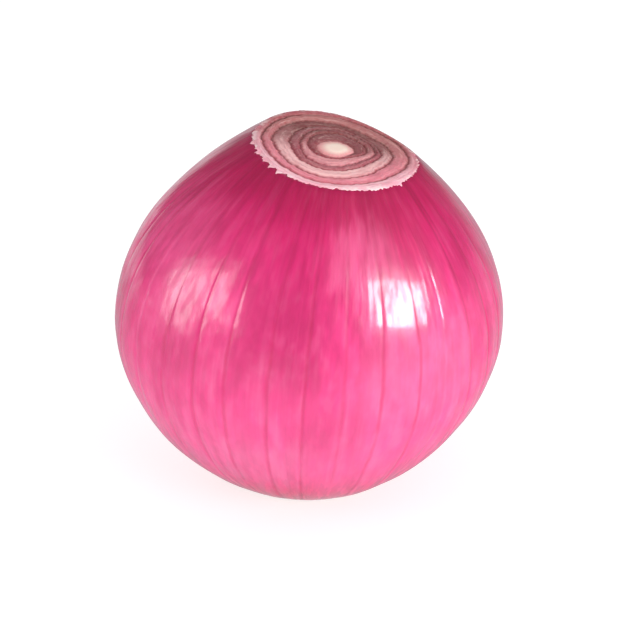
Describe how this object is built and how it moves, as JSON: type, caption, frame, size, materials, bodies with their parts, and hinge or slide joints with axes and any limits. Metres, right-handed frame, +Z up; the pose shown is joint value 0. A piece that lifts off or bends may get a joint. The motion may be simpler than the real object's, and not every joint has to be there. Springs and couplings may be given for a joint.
{
  "type": "peeled red onion with cut top",
  "caption": "Whole peeled red onion, glossy magenta and finely veined, with its neck sliced off to show pale rings; rests upright on its root plate.",
  "frame": {"origin": "centre of the flat spot of the root plate that the onion rests on", "axes": "+Z up, from the root plate to the cut neck; -Y is the front seen in the picture; the neck leans slightly to +X"},
  "size_m": [0.075, 0.0753, 0.0722],
  "materials": {
    "skin": "wet-looking magenta onion skin with darker veins",
    "flesh": "moist cut onion flesh, cream to mauve rings",
    "root": "dry tan root plate and trimmed roots"
  },
  "bodies": {
    "root": {"bulb": "skin"}
  },
  "joints": []
}
